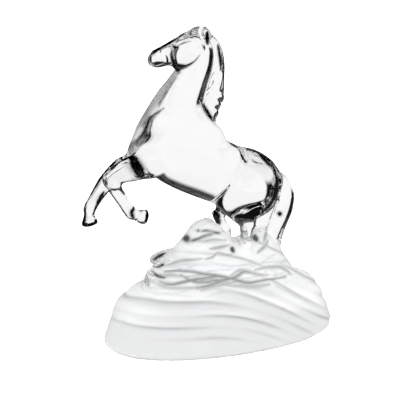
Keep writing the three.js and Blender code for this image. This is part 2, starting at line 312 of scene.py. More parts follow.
def rings_to_skin(points, first, last):
    """Closed faces over a grid of rings: quads between rings, and a fan to a pole at each end."""
    rings, sides = points.shape[:2]
    k = np.arange(sides)
    n = (k + 1) % sides
    i = np.arange(rings - 1)[:, None] * sides
    quads = np.stack([i + k, i + n, i + sides + n, i + sides + k], -1).reshape(-1, 4)
    pole = rings * sides
    end = (rings - 1) * sides
    fans = np.concatenate([
        np.stack([np.full(sides, pole), n, k], -1),
        np.stack([np.full(sides, pole + 1), end + k, end + n], -1),
    ])
    verts = np.vstack([points.reshape(-1, 3), first, last])
    return verts, quads, fans


NUDGE = 1e-3  # the step along a path, as a share of it, that gives its direction


def frame_along(stations, t):
    """At t along a path of stations: its middle, its direction, the side (the Y axis squared to the
    direction), the front (square to both), and the half depth and half width."""
    stations = np.asarray(stations, float) + [FIGURE_X, 0, 0, 0, 0]
    row = spline(stations, t)
    ahead = spline(stations, np.minimum(t + NUDGE, 1))
    behind = spline(stations, np.maximum(t - NUDGE, 0))
    tangent = unit((ahead - behind)[:, :3])
    side = unit([0, 1, 0] - tangent * tangent[:, 1:2])
    return row[:, :3], tangent, side, np.cross(side, tangent), row[:, 3:4], row[:, 4:5]


DOME_RINGS = 6


def body(stations, sides=40, steps=48, domes=(1, 1), under=1.0, relief=None, power=2.0):
    """A body swept through its stations. At t along the path a ring is
    middle + front * deep * cos(a)^(2/power) + side * wide * sin(a)^(2/power), keeping the signs.
    Past each end the rings shrink by sin(b) as they slide on by cos(b) half depths, which rounds the
    end off. `under` flattens the side away from the front, `relief` swells the skin, and a `power`
    above 2 squares the ring."""
    b = np.linspace(0, math.pi / 2, DOME_RINGS + 2)[1:-1]
    t = np.concatenate([0 * b, np.linspace(0, 1, steps + 1), 0 * b + 1])
    slide = np.concatenate([-domes[0] * np.cos(b), np.zeros(steps + 1), domes[1] * np.cos(b[::-1])])
    shrink = np.concatenate([np.sin(b), np.ones(steps + 1), np.sin(b[::-1])])[:, None]
    middle, tangent, side, front, deep, wide = frame_along(stations, t)
    a = np.arange(sides) / sides * 2 * math.pi
    swell = 1 + relief(t[:, None], a[None, :]) if relief else np.ones((len(t), sides))
    depth = np.sign(np.cos(a)) * np.abs(np.cos(a)) ** (2 / power) * np.where(np.cos(a) < 0, under, 1)
    breadth = np.sign(np.sin(a)) * np.abs(np.sin(a)) ** (2 / power)
    points = (
        (middle + tangent * slide[:, None] * deep)[:, None]
        + front[:, None] * (deep * shrink * swell * depth)[..., None]
        + side[:, None] * (wide * shrink * swell * breadth)[..., None]
    )
    first = middle[0] - tangent[0] * domes[0] * deep[0]
    last = middle[-1] + tangent[-1] * domes[1] * deep[-1]
    return rings_to_skin(points, first, last)


LOCK_ROWS = 11
LOCK_SUNK = 0.3  # the share of a lock's thickness that lies inside the body


def lock(stations, start, end, low, high, thick, flank, wave=0.0, turn=0.0):
    """A lock of hair laid on a swept body, from start to end along its path. Across the body it runs
    from low to high, as shares of the half depth, with a sine wave of its own, and it sits on the
    oval skin at flank * wide * sqrt(1 - share^2)."""
    s = np.linspace(0, 1, LOCK_ROWS)
    middle, _, side, front, deep, wide = frame_along(stations, start + (end - start) * s)
    share = low + (high - low) * s + wave * np.sin(2.2 * math.pi * s + turn)
    size = thick * (0.25 + 0.75 * np.sin(math.pi * (0.12 + 0.84 * s)) ** 0.8)
    out = flank * np.sqrt(np.maximum(0.03, 1 - np.minimum(np.abs(share), 1) ** 2))
    sideways = wide * out[:, None] - flank * LOCK_SUNK * size[:, None]
    place = middle + front * deep * share[:, None] + side * sideways
    rows = np.hstack([place - [FIGURE_X, 0, 0], size[:, None] * 1.2, size[:, None]])
    return body(rows, sides=14, steps=36, domes=(1.2, 1.6))


def mane_locks(flank):
    """Locks that fall down the mane in loose waves, the last ones flicking out behind the withers."""
    hair = []
    for i in range(9):
        start = 0.02 + 0.085 * i
        end = min(0.98, start + 0.34)
        lean = 0.75 - 0.17 * (i % 3)
        low, high = lean - 1.1, lean + 0.25
        hair.append(lock(MANE, start, end, low, high, 0.85, flank, wave=0.16, turn=1.7 * i))
    for i in range(3):
        start = 0.5 + 0.13 * i
        hair.append(lock(MANE, start, start + 0.16, -0.2, -1.12, 1.0, flank, wave=0.05, turn=i))
    return hair


def tail_locks(flank):
    """Long locks that follow the tail down and spread at its foot."""
    hair = []
    for i in range(5):
        start, end = 0.04 + 0.05 * i, 0.62 + 0.06 * i
        low, high = -0.75 + 0.36 * i, -0.7 + 0.33 * i
        hair.append(lock(TAIL, start, end, low, high, 0.9, flank, wave=0.12, turn=1.3 * i))
    return hair


def locks(count, twist, depth):
    """Relief of a swept body: depth * cos(count * a + twist * t), mirrored from side to side."""
    def relief(t, a):
        sided = np.where(a > math.pi, 2 * math.pi - a, a)
        return depth * np.cos(count * sided + twist * t)
    return relief


def lump(centre, radii, power=2.0, lean=0.0):
    """A closed superellipsoid: at latitude b and longitude a its unit point is
    (cos b cos a, cos b sin a, sin b), each share raised to 2 / power, times the radii. It is then
    leaned by `lean` degrees in the side view."""
    b = np.linspace(-math.pi / 2, math.pi / 2, 26)[1:-1, None]
    a = np.arange(40)[None] / 40 * 2 * math.pi
    unit_points = np.stack([np.cos(b) * np.cos(a), np.cos(b) * np.sin(a), np.sin(b) + 0 * a], -1)
    points = np.sign(unit_points) * np.abs(unit_points) ** (2 / power) * radii
    c, s = math.cos(math.radians(lean)), math.sin(math.radians(lean))
    turn = np.array([[c, 0, s], [0, 1, 0], [-s, 0, c]])
    middle = np.array(centre, float) + [FIGURE_X, 0, 0]
    top = turn @ np.array([0, 0, radii[2]])
    return rings_to_skin(points @ turn.T + middle, middle - top, middle + top)


def head_forms(side):
    """The cheek plate, the muzzle's bulb, the eyeball and the brow on one side of the head."""
    brow = [
        (-25.2, side * 3.6, 159.0, 0.5, 0.5),
        (-23.2, side * 4.4, 160.8, 0.7, 0.7),
        (-20.4, side * 4.7, 161.4, 0.7, 0.7),
        (-18.0, side * 4.4, 160.8, 0.4, 0.4),
    ]
    return [
        lump((-16.8, side * 2.7, 155.2), (9.4, 4.1, 7.3), power=2.3, lean=-14),
        lump((-32.6, side * 0.6, 153.1), (5.7, 3.5, 4.0), power=2.2, lean=-8),
        lump((-22.0, side * 4.3, 159.4), (1.8, 1.3, 1.2), lean=-25),
        body(brow, sides=12, steps=16),
    ]


def joined(skins):
    """Several skins as one list of vertices and faces."""
    verts, quads, fans, start = [], [], [], 0
    for v, q, f in skins:
        verts.append(v)
        quads.append(q + start)
        fans.append(f + start)
        start += len(v)
    return np.vstack(verts), np.vstack(quads), np.vstack(fans)


# Base

def ripple_strength(p):
    """The ripples fade in from the ground up, sooner towards the tail."""
    return smoothstep(p[..., 2] + 0.12 * p[..., 0], 2, 16)


def valleys(p, mean, swing, power):
    """How deep in a valley between two ripples a point lies: a wave down the wall, raised to a power.
    The ripples are level at the head end and fall away in a power curve towards the tail. Each valley
    comes and goes along its length by mean + swing * sine."""
    x, y, z = p[..., 0], p[..., 1], p[..., 2]
    bend = np.minimum(x, FALL_END)
    fall = 20.5 * np.maximum(0, (bend - FALL_START) / 55) ** 1.9 + 0.65 * (x - bend)
    shift = RIPPLE_PITCH / 2 * smoothstep(y, -12, 12)
    turns = (z + fall + shift) / RIPPLE_PITCH
    patch = mean + swing * np.sin(0.09 * x + 2.3 * np.floor(turns + 0.5) + 0.05 * y)
    return patch * (0.5 + 0.5 * np.cos(turns * 2 * math.pi)) ** power


def ripple(p):
    """Height of the ripples over the base's plain skin."""
    return RIPPLE_DEPTH * ripple_strength(p) * (0.8 - 2.4 * valleys(p, 0.6, 0.5, 1.8))


def base(around=360, up=110):
    """The base's profile carried round a superellipse |x/a|^n + |y/b|^n = 1, and pushed out along its
    normals by the ripples."""
    t = np.linspace(0, 1, up + 1)
    profile = spline(BASE_PROFILE, t)
    a = (np.arange(around) + 0.5) / around * 2 * math.pi
    oval = np.stack([
        BASE_LENGTH / 2 * np.sign(np.cos(a)) * np.abs(np.cos(a)) ** (2 / OVAL_POWER),
        BASE_WIDTH / 2 * np.sign(np.sin(a)) * np.abs(np.sin(a)) ** (2 / OVAL_POWER),
    ], -1)
    points = np.zeros((up + 1, around, 3))
    points[..., :2] = profile[:, None, :1] * oval[None]
    points[..., 2] = profile[:, 1:2]
    along = np.gradient(points, axis=0)
    about = np.roll(points, -1, 1) - np.roll(points, 1, 1)
    normal = unit(np.cross(about, along))
    points[1:] += normal[1:] * ripple(points)[1:, :, None]
    crown = profile[-1, 1]
    return rings_to_skin(points, np.zeros(3), np.array([0, 0, crown]))


# Mound

def mound_size(x):
    """Half depth and half width of the mound at x, in straight lines between its stations."""
    m = np.asarray(MOUND, float)[::-1]
    return np.interp(x, m[:, 0], m[:, 3]), np.interp(x, m[:, 0], m[:, 4])


STRAND_ROWS = 9
STRAND_SUNK = 0.35  # the share of a blade's thickness that lies inside the mound


def strand(start, end, low, rise, thick, side, wave=0.0, turn=0.0):
    """A blade of grass on the mound's flank, from x=start to x=end, at a share of the mound's
    height that goes from low by rise, with a wave of its own."""
    s = np.linspace(0, 1, STRAND_ROWS)
    x = start + (end - start) * s
    deep, wide = mound_size(x)
    level = low + rise * s + wave * np.sin(2 * math.pi * s + turn)
    size = thick * (0.3 + 0.7 * np.sin(math.pi * (0.1 + s * 0.8)))
    y = side * (wide * np.sqrt(np.maximum(0.02, 1 - level**2)) - STRAND_SUNK * size)
    rows = np.stack([x, y, MOUND_FOOT + level * deep, size * 1.3, size], -1)
    return body(rows, sides=16, steps=32, domes=(1.5, 1.5))


def grass_strands(side):
    """Long blades that flow over the mound, shorter ones that cross each other at its foot, and a few
    fine ones under the tail."""
    blades = []
    for i in range(5):
        start = -37 + 5 * i
        end = start + 62 - 9 * i
        low = 0.42 + 0.12 * i
        blades.append(strand(start, end, low, 0.06, 2.1, side, wave=0.03, turn=1.3 * i))
    for i in range(4):
        start = -38 + 17 * i
        blades.append(strand(start, start + 30, 0.50, -0.16, 1.7, side, wave=0.03, turn=0.6 * i))
        start += 6
        blades.append(strand(start, start + 30, 0.28, 0.14, 1.5, side, wave=0.03, turn=2.1 + 0.9 * i))
    for i in range(3):
        start = 8 + 7 * i
        end = start + 24 - 2 * i
        low = 0.52 + 0.12 * i
        blades.append(strand(start, end, low, -0.05, 1.3, side, wave=0.04, turn=2 * i))
    return blades


# Fusing

STRETCH_LOW = 0.85
STRETCH_RISE = 1.05 / 170


def stretched(p):
    """Space enlarged with height, so that the head gets finer faces than the base: x and y are
    multiplied by s = low + rise * z, and z becomes the integral of s."""
    s = STRETCH_LOW + STRETCH_RISE * p[:, 2]
    z = STRETCH_LOW * p[:, 2] + STRETCH_RISE * p[:, 2] ** 2 / 2
    return np.stack([p[:, 0] * s, p[:, 1] * s, z], -1)


def relaxed(p):
    """The stretching undone."""
    s = np.sqrt(STRETCH_LOW**2 + 2 * STRETCH_RISE * p[:, 2])
    return np.stack([p[:, 0] / s, p[:, 1] / s, (s - STRETCH_LOW) / STRETCH_RISE], -1)


def make_mesh(name, verts, faces):
    """A mesh from arrays of faces, one array for each number of sides."""
    mesh = bpy.data.meshes.new(name)
    mesh.from_pydata(verts.tolist(), [], [f for group in faces for f in group.tolist()])
    mesh.update()
    return mesh


def fused(skin, voxel):
    """The skins' outer surface, remade in voxels of one size in stretched space."""
    verts, quads, fans = skin
    mesh = make_mesh("rough", stretched(verts), [quads, fans])
    rough = bpy.data.objects.new("rough", mesh)
    bpy.context.collection.objects.link(rough)
    remesh = rough.modifiers.new("fuse", "REMESH")
    remesh.mode = "VOXEL"
    remesh.voxel_size = voxel
    result = rough.evaluated_get(bpy.context.evaluated_depsgraph_get()).to_mesh()
    v = np.empty(len(result.vertices) * 3, np.float32)
    result.vertices.foreach_get("co", v)
    loops = np.empty(len(result.loops), np.int32)
    result.loops.foreach_get("vertex_index", loops)
    sizes = np.empty(len(result.polygons), np.int32)
    result.polygons.foreach_get("loop_total", sizes)
    assert (sizes == 4).all(), "the remesh gave faces that aren't quads"
    rough.to_mesh_clear()
    bpy.data.objects.remove(rough)
    bpy.data.meshes.remove(mesh)
    return relaxed(v.reshape(-1, 3).astype(float)), loops.reshape(-1, 4)


def edges_of(quads):
    """The edges of the faces, each one once."""
    e = np.concatenate([quads[:, [k, (k + 1) % 4]] for k in range(4)])
    e.sort(axis=1)
    return np.unique(e, axis=0)


def smoothed(p, edges, times, weight=None, push=0.5, pull=-0.52):
    """Each point moves towards the mean of its neighbours by push, and then away from it by pull,
    which smooths without shrinking. With no pull, hollows fill and edges melt."""
    a = np.concatenate([edges[:, 0], edges[:, 1]])
    b = np.concatenate([edges[:, 1], edges[:, 0]])
    count = np.bincount(a, minlength=len(p))[:, None]
    w = 1.0 if weight is None else weight[:, None]
    for _ in range(times):
        for amount in (push, pull):
            mean = np.stack([np.bincount(a, p[b, k], len(p)) for k in range(3)], -1) / count
            p = p + amount * w * (mean - p)
    return p


def normals_of(p, quads):
    """Normals at the points: the sum over each point's faces of the cross product of the diagonals."""
    n = np.cross(p[quads[:, 2]] - p[quads[:, 0]], p[quads[:, 3]] - p[quads[:, 1]])
    out = np.zeros_like(p)
    for k in range(4):
        for j in range(3):
            out[:, j] += np.bincount(quads[:, k], n[:, j], len(p))
    return unit(out)


# The trunk is fused first, coarsely, and smoothed until neck, shoulders and haunches run together.
TRUNK_VOXEL = 1.6
TRUNK_PASSES = 16
TRUNK_SWELL = 0.5  # what the smoothing takes off
trunk_parts = [
    body(TORSO, sides=80, steps=90, domes=(0.45, 0.8), power=2.5),
    body(NECK, sides=64, steps=80, domes=(0.2, 0.6), power=5),
    body(NEAR_FOREARM[:3]),
    body(FAR_FORELEG[:3]),
    body(NEAR_THIGH, domes=(0.6, 0.8), power=3.3),
    body(FAR_THIGH, domes=(0.6, 1), power=2.8),
    body(NEAR_GASKIN, domes=(0.3, 0.6), power=2.6),
]
trunk_points, trunk_quads = fused(joined(trunk_parts), TRUNK_VOXEL)
trunk_points = smoothed(trunk_points, edges_of(trunk_quads), TRUNK_PASSES, pull=0)
trunk_points += TRUNK_SWELL * normals_of(trunk_points, trunk_quads)
trunk = (trunk_points, trunk_quads, np.zeros((0, 3), int))

skins = [
    base(),
    body(MOUND, sides=64, steps=120, domes=(0.4, 0.4), under=0.4),
    body(WEB, domes=(0.5, 0.5)),
    body(LIP, domes=(0.3, 1)),
    body(BLADE, domes=(0.2, 1)),
    *grass_strands(-1),
    *grass_strands(1),
    trunk,
    body(HEAD, sides=64, steps=70, domes=(0.6, 0.7)),
    *head_forms(-1),
    *head_forms(1),
    body(NOSE),
    body(FORELOCK),
    body(NEAR_EAR, domes=(0.3, 1)),
    body(FAR_EAR, domes=(0.3, 1)),
    body(NEAR_FOREARM, power=2.7),
    body(NEAR_SHIN, power=2.7),
    body(NEAR_HOOF, domes=(0.5, 0.15)),
    body(FAR_FORELEG, power=2.7),
    body(FAR_HOOF, domes=(0.5, 0.15)),
    body(NEAR_GASKIN[1:], domes=(0.3, 1), power=2.5),
    body(NEAR_HIND_SHIN, power=2.7),
    body(FAR_GASKIN, power=2.7),
    body(FAR_HIND_SHIN, power=2.7),
    *mane_locks(-1),
    *mane_locks(1),
    *tail_locks(-1),
    *tail_locks(1),
    body(TAIL, sides=72, steps=120, domes=(0.6, 0.1), relief=locks(5, 3, 0.09)),
    body(MANE, sides=72, steps=120, domes=(0.8, 1), relief=locks(5, 4, 0.08)),
]
VOXEL = 0.94
UNDERSIDE = 0.3  # points below this height belong to the flat underside
points, quads = fused(joined(skins), VOXEL)
edges = edges_of(quads)
on_ground = points[:, 2] < UNDERSIDE


# Grooves and creases

def room_from(p, stations):
    """Distance of each point from a swept body: from the straight pieces between its stations, less
    their half depth."""
    rows = np.asarray(stations, float) + [FIGURE_X, 0, 0, 0, 0]
    room = np.full(len(p), np.inf)
    for start, end in zip(rows[:-1], rows[1:]):
        way = end[:3] - start[:3]
        share = np.clip(((p - start[:3]) @ way) / (way @ way), 0, 1)
        gap = np.linalg.norm(p - start[:3] - share[:, None] * way, axis=1)
        room = np.minimum(room, gap - (start[3] + share * (end[3] - start[3])))
    return room


def distance_from(p, path):
    """Distance of each point from a path of straight pieces."""
    path = np.array(path, float) + [FIGURE_X, 0, 0]
    nearest = np.full(len(p), np.inf)
    for start, end in zip(path[:-1], path[1:]):
        way = end - start
        share = np.clip(((p - start) @ way) / (way @ way), 0, 1)
        nearest = np.minimum(nearest, np.linalg.norm(p - start - share[:, None] * way, axis=1))
    return nearest


def carved(p, normals, path, radius, depth):
    """A groove along a path on both sides: points sink by depth * exp(-(d / radius)^2), d being
    their distance from the path."""
    mirrored = np.stack([p[:, 0], np.abs(p[:, 1]), p[:, 2]], -1)
    return p - normals * (depth * np.exp(-((distance_from(mirrored, path) / radius) ** 2)))[:, None]


# Grooves on both sides, as (path, radius, depth): chest and forearm, mouth, nostril
GROOVES = [
    ([(-48, 12.3, 104.5), (-46, 12.8, 100), (-44, 12.8, 96.5)], 3.0, 3.0),
    ([(-37.5, 3, 149.8), (-34, 4, 150.6), (-30.5, 4, 151.4)], 0.6, 0.6),
    ([(-36.2, 3.2, 155.4), (-35.2, 3.6, 155.0)], 0.9, 0.9),
]

# Creases, carved shallow and with painted shade, as seen from the camera: (half width, darkness of the
# shade, path)
CREASES = [
    # the wave's curl
    (0.9, 1.1, [(-14.4, -3.4, 60.7), (-10.0, -6.4, 61.3), (-5.5, -7.9, 60.2), (1.3, -3.6, 58.0)]),
    (0.9, 1.1, [(-19.1, -3.9, 55.3), (-14.9, -7.5, 57.3), (-10.2, -8.3, 58.9), (-5.7, -8.4, 59.8)]),
    (1.7, 1.6, [(-19.5, -1.2, 55.9), (-18.1, -1.1, 57.3)]),
    # folds of the grass
    (0.9, 0.7, [(-11.3, -9.7, 56.7), (-6.4, -10.2, 57.1), (0.7, -9.4, 55.7)]),
    (0.9, 0.7, [(-9.3, -12.0, 52.8), (-4.4, -12.3, 53.1), (2.7, -10.0, 52.9)]),
    (0.9, 0.7, [(-12.4, -12.8, 47.9), (-8.2, -13.5, 48.8), (-5.6, -12.4, 50.6), (-1.9, -13.1, 49.5),
                (2.6, -13.1, 48.6)]),
    (0.9, 0.7, [(-33.3, -7.6, 45.0), (-27.3, -9.3, 46.8), (-21.0, -10.4, 47.7), (-13.9, -12.2, 48.2)]),
    (0.9, 0.7, [(9.3, -11.7, 62.6), (9.5, -11.4, 59.7), (9.0, -8.6, 56.1), (10.6, -3.4, 52.0),
                (8.3, -10.3, 52.8)]),
    (0.9, 0.7, [(26.4, -4.2, 58.8), (25.5, -5.0, 55.2), (23.9, -7.5, 53.4), (22.6, -9.1, 51.8)]),
    (0.9, 0.7, [(25.2, -8.5, 52.4), (23.2, -10.4, 50.4), (20.4, -11.5, 48.9), (17.3, -12.3, 47.3)]),
    # the lip
    (0.9, 1.5, [(-37.8, -3.0, 46.8), (-34.7, -2.2, 48.7), (-29.6, -0.3, 49.9)]),
    (0.9, 1.5, [(-35.6, -2.9, 43.2), (-33.3, -7.6, 46.1)]),
    (0.9, 1.5, [(-37.4, -0.2, 40.2), (-36.6, -5.7, 39.5), (-33.6, -9.9, 39.2)]),
    # ribbons at the mound's foot
    (1.2, 0.9, [(-32.9, -7.8, 42.0), (-25.7, -11.0, 42.7), (-18.4, -13.7, 41.8), (-10.5, -15.1, 39.6),
                (-2.8, -17.0, 38.1), (2.9, -18.1, 36.1), (6.7, -18.6, 34.6), (9.9, -19.1, 33.8),
                (13.3, -19.2, 33.9), (18.9, -18.2, 33.9), (25.6, -17.5, 33.4), (33.2, -14.8, 32.6)]),
    (1.2, 0.9, [(-25.7, -12.6, 40.8), (-21.9, -14.2, 38.3), (-17.8, -15.0, 36.6), (-11.7, -15.3, 35.9),
                (-4.4, -16.7, 37.1)]),
    (1.2, 0.9, [(-36.2, -9.2, 37.1), (-31.1, -13.5, 36.5), (-25.8, -14.3, 37.2), (-20.4, -14.5, 37.9),
                (-10.6, -15.3, 38.0), (-3.4, -16.9, 38.2)]),
    (1.2, 0.65, [(0.5, -17.2, 38.9), (5.7, -16.8, 40.8), (11.4, -17.0, 39.0), (15.5, -18.1, 37.4),
                (21.3, -18.0, 36.4)]),
    (1.2, 0.65, [(14.2, -17.1, 39.8), (18.8, -17.0, 40.3), (23.7, -16.2, 39.9), (29.7, -14.5, 38.6),
                (34.3, -12.3, 35.5), (38.1, -10.5, 32.1)]),
    (1.2, 0.65, [(-16.9, -17.1, 32.8), (-9.8, -16.2, 33.8), (-3.5, -17.4, 34.4), (2.9, -18.3, 35.0)]),
    (1.2, 0.65, [(-40.0, -4.6, 39.9), (-34.7, -8.2, 39.9), (-30.0, -10.7, 40.7), (-23.9, -13.7, 39.8)]),
    (1.4, 0.85, [(-18.6, -15.8, 33.7), (-10.8, -15.7, 34.3), (-4.5, -16.9, 36.1), (3.0, -18.0, 37.7),
                (7.2, -17.3, 39.7), (11.1, -17.7, 38.7)]),
    (1.3, 0.6, [(-40.5, -5.7, 37.0), (-34.6, -12.5, 35.3), (-24.4, -14.8, 34.1), (-13.5, -15.5, 34.0)]),
    (1.3, 0.6, [(-3.2, -17.9, 34.0), (4.5, -19.9, 33.1), (13.2, -19.6, 31.8), (21.9, -19.4, 31.7)]),
    # hollows
    (1.2, 2.5, [(3.2, -11.0, 51.2), (4.1, -11.6, 50.2)]),
    (1.2, 2.5, [(19.4, -4.9, 54.2), (18.8, -7.1, 52.7)]),
    (1.2, 2.5, [(33.4, -5.1, 65.5), (33.4, -5.3, 64.4)]),
    # dark patches of painted shade on the legs
    (1.7, 2.5, [(1.6, 7.2, 66.1), (2.3, 6.2, 62.4)]),
    (1.7, 2.5, [(0.2, 8.1, 63.7), (2.4, 6.3, 60.6), (-0.3, 6.0, 60.9)]),
    (0.8, 2.5, [(-61.6, -7.0, 90.2), (-63.9, -10.4, 90.6)]),
    (1.1, 2.5, [(-60.9, 6.2, 84.4), (-63.0, 6.3, 80.9), (-65.3, 6.4, 76.2)]),
    (1.1, 2.5, [(-71.0, 7.3, 73.9), (-71.7, 8.6, 70.9), (-71.7, 7.0, 68.7)]),
    (1.1, 2.5, [(-50.4, -10.9, 79.7), (-51.8, -11.7, 77.4), (-50.6, -11.1, 73.9)]),
    (1.0, 2.5, [(-57.4, -11.8, 91.9), (-55.2, -11.1, 87.7)]),
    # nose, jaw and eye
    (0.7, 1.8, [(-37.0, -0.9, 155.7), (-33.4, -1.4, 158.3), (-29.0, -1.0, 160.5), (-24.2, -1.2, 162.7),
                (-19.4, -1.1, 165.2)]),
    (0.8, 2.0, [(-26.6, -3.1, 157.9), (-26.9, -3.1, 154.9), (-26.0, -2.9, 151.7), (-24.4, -2.7, 149.0),
                (-22.4, -3.3, 147.6)]),
    (1.3, 2.2, [(-28.1, -1.2, 149.4), (-25.1, -0.2, 147.7), (-23.1, -2.3, 146.7)]),
    (0.6, 1.2, [(-22.4, -3.3, 147.6), (-19.5, -5.5, 149.1), (-16.0, -6.4, 151.6), (-12.8, -6.5, 155.0)]),
    (0.8, 2.2, [(-25.7, -3.6, 159.5), (-25.0, -4.0, 159.5)]),
    (0.5, 1.1, [(-24.0, -4.7, 160.1), (-20.9, -5.2, 161.5), (-17.0, -4.8, 161.9)]),
    # mane
    (1.0, 2.0, [(-1.8, -3.2, 158.2), (-0.6, -3.7, 152.0), (-0.2, -3.6, 145.7)]),
    (1.1, 2.2, [(-8.2, -5.0, 166.1), (-7.9, -4.1, 159.8)]),
    (1.0, 2.2, [(-12.9, -6.8, 132.3), (-8.8, -3.1, 126.4), (-6.2, -3.5, 122.0), (-4.3, -2.9, 119.1)]),
    # neck and chest
    (0.7, 1.3, [(-32.7, -7.7, 129.6), (-36.2, -6.9, 127.1), (-39.2, -4.9, 124.3), (-41.2, -6.0, 120.6),
                (-44.3, -5.2, 115.0), (-46.7, -4.4, 109.8)]),
    # chest, haunch and tail
    (2.8, 3.0, [(-50.9, -10.0, 106.3), (-49.6, -11.8, 103.0), (-47.4, -12.2, 99.2),
                (-45.9, -12.4, 97.0)]),
    (1.2, 2.0, [(27.6, -6.6, 94.3), (28.7, -9.5, 88.9), (28.7, -11.2, 82.8), (26.5, -13.7, 77.7),
                (23.2, -14.9, 73.5), (18.5, -15.4, 70.9)]),
]


CREASE_DEPTH = 0.35  # how far the skin sinks in a crease at its darkest
CREASE_PIECES = 12
CREASE_PRESS = 0.33  # the share of the depth into the figure that counts as distance
CREASE_REACH = 45  # points further than this from a crease's middle are passed over


def crease_and_shade_share(p):
    """How near a point lies to a crease: min(1, darkness * exp(-(d / w)^2)), the crease being a spline
    whose half width w is the row's width in the middle and tapers towards the ends. Depth into the
    figure counts for less in d, since the rows lie on its skin only at their own points."""
    share = np.zeros(len(p))
    pressed = np.array([1, CREASE_PRESS, 1])
    for width, darkness, path in CREASES:
        s = np.linspace(0, 1, CREASE_PIECES + 1)
        line = spline(path, s)
        taper = 0.45 + 0.55 * np.sin(math.pi * (s[:-1] + s[1:]) / 2)
        near = np.linalg.norm(p - line.mean(0) - [FIGURE_X, 0, 0], axis=1) < CREASE_REACH
        for start, end, w in zip(line[:-1], line[1:], width * taper):
            d = distance_from(p[near] * pressed, [start * pressed, end * pressed])
            # the share sets both how deep the skin sinks and how dark the painted shade is
            share[near] = np.maximum(share[near], darkness * np.exp(-((d / w) ** 2)))
    return np.minimum(1, share)


# Smoothing and carving

SKIN_PASSES = 22  # over the whole skin
MOUND_PASSES = 9  # over the mound, filling the hollows between its blades
PLAIN_PASSES = 60  # over the horse, away from its mane and tail, and less on its head
LAST_PASSES = 4
HEAD_SHARE = 0.3  # how much of the plain smoothing reaches the head
moving = np.where(on_ground, 0.0, 1.0)
points = smoothed(points, edges, SKIN_PASSES, weight=moving)
hairy = np.minimum(room_from(points, MANE), room_from(points, TAIL))
plain = smoothstep(hairy, 0.5, 3) * smoothstep(points[:, 2], 58, 64) * moving
mound = smoothstep(points[:, 2], 34, 42) * (1 - smoothstep(points[:, 2], 56, 62))
points = smoothed(points, edges, MOUND_PASSES, weight=mound, pull=0)
plain *= HEAD_SHARE + (1 - HEAD_SHARE) * smoothstep(room_from(points, HEAD), 0.5, 3)
points = smoothed(points, edges, PLAIN_PASSES, weight=plain)
skin_normals = normals_of(points, quads)
for path, radius, depth in GROOVES:
    points = carved(points, skin_normals, path, radius, depth)
points = smoothed(points, edges, LAST_PASSES, weight=moving)
points -= CREASE_DEPTH * crease_and_shade_share(points)[:, None] * normals_of(points, quads)
points[on_ground, 2] = 0
points[:, 2] = np.maximum(points[:, 2], 0)

mesh = make_mesh("figurine", points * MM, [quads])
mesh.polygons.foreach_set("use_smooth", np.ones(len(quads), bool))


def painted_shade_share(p):
    """How much shade is painted on the frosted skin at a point, from 0 to 1: in the ripples' valleys,
    along two sets of crossing ribbons at the mound's foot, as a contact shadow at the ground, and in the
    creases."""
    x, z = p[:, 0], p[:, 2]
    # painted shade in the ripples' valleys, and below along crossing ribbon lines
    valley = ripple_strength(p) * valleys(p, 0.55, 0.45, 5)
    ribbon_zone = smoothstep(z, 29, 33) * (1 - smoothstep(z, 44, 48))
    braid = np.maximum(
        np.cos(2 * math.pi * (z - 0.10 * x + 1.3 * np.sin(0.16 * x)) / 5.2),
        np.cos(2 * math.pi * (z + 0.16 * x + 1.3 * np.cos(0.13 * x)) / 6.4),
    )
    ribbon = 0.6 * ribbon_zone * np.maximum(0, braid) ** 9
    # painted contact shadow along the ground
    contact_shade = 0.7 * (1 - smoothstep(z, 0.2, 1.8))
    return np.maximum(0.6 * np.maximum(np.maximum(valley, ribbon), contact_shade), crease_and_shade_share(p))


def point_attribute(name, values):
    """One number at each point of the skin, for the materials to read."""
    attribute = mesh.attributes.new(name, "FLOAT", "POINT")
    attribute.data.foreach_set("value", values.astype(np.float32))


SATIN_ROUGHNESS = 0.35  # on the front of the neck and chest, where skin faces the head end
facing = normals_of(points, quads)
front = smoothstep(-facing[:, 0], 0.45, 0.75) * smoothstep(points[:, 2], 102, 108)
front *= (1 - smoothstep(points[:, 2], 146, 150)) * smoothstep(-points[:, 0], 8, 12)
point_attribute("combing", 1 - smoothstep(points[:, 2], 48, 62))
# painted shade of the frosted skin: ripple valleys, ribbon lines, contact shadow and creases
point_attribute("groove", painted_shade_share(points))
# painted shade in the creases of the clear skin
point_attribute("crease", crease_and_shade_share(points))
point_attribute("satin", SATIN_ROUGHNESS * front)
figurine = bpy.data.objects.new("figurine", mesh)
bpy.context.collection.objects.link(figurine)


# Materials

def socket(node, name, value):
    """Set a constant on one of a node's inputs."""
    node.inputs[name].default_value = value


def read_attribute(nodes, name):
    """The output of a new node that reads a point attribute."""
    node = nodes.new("ShaderNodeAttribute")
    node.attribute_name = name
    return node.outputs["Fac"]


